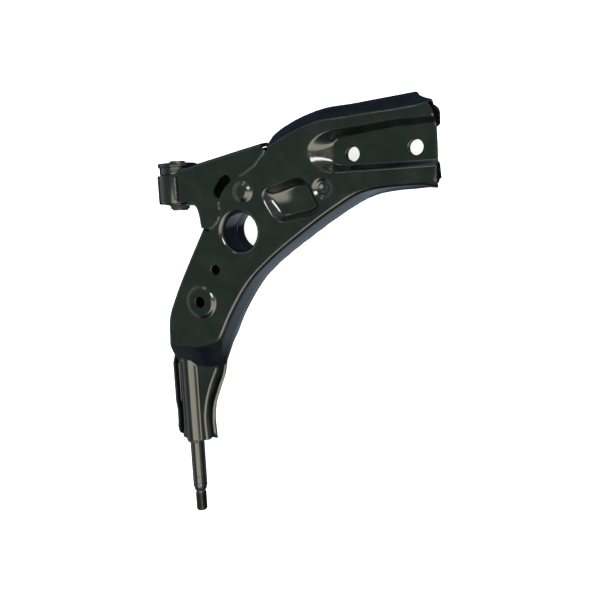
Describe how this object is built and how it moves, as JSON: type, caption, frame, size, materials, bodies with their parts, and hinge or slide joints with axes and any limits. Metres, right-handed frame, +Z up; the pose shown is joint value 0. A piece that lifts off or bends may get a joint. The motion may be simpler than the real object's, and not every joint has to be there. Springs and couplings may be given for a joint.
{
  "type": "suspension control arm",
  "caption": "Pressed-steel lower control arm: welded box-section body, front bonded bush eye, rear threaded pivot stud and a recessed ball-joint seat.",
  "frame": {"origin": "centre of the overall box at floor height, under the arm lying on its lower plate", "axes": "+Y along the pivot axis from the rear stud towards the front bush; +X from the pivot axis towards the ball-joint end; +Z up out of the upper plate"},
  "size_m": [0.2958, 0.4206, 0.0499],
  "materials": {
    "black_paint": "gloss",
    "weld_paint": "semi-gloss",
    "bush_rubber": "matte",
    "sleeve_steel": "satin"
  },
  "bodies": {
    "arm": {"upper_shell": "black_paint", "lower_shell": "black_paint", "front_bracket": "black_paint", "bracket_closing_plate": "black_paint", "bush_eye": "black_paint", "bush_outer_sleeve": "sleeve_steel", "bush_rubber": "bush_rubber", "rear_stud": "black_paint", "weld_bracket_front": "weld_paint", "weld_bracket_middle": "weld_paint", "weld_bracket_rear": "weld_paint", "weld_eye_upper": "weld_paint", "weld_eye_lower": "weld_paint", "weld_seam_front": "weld_paint", "weld_seam_inner": "weld_paint", "weld_seam_outer": "weld_paint", "weld_stud_upper": "weld_paint", "weld_stud_lower": "weld_paint"},
    "inner_sleeve": {"bush_inner_sleeve": "sleeve_steel"}
  },
  "joints": [
    {"name": "bush_twist", "type": "hinge", "parent": "arm", "child": "inner_sleeve", "pos_m": [-0.12334, 0.1428, 0.024], "axis": [0, 1, 0], "range_deg": [-25, 25], "stiffness_Nm_per_rad": 60}
  ]
}
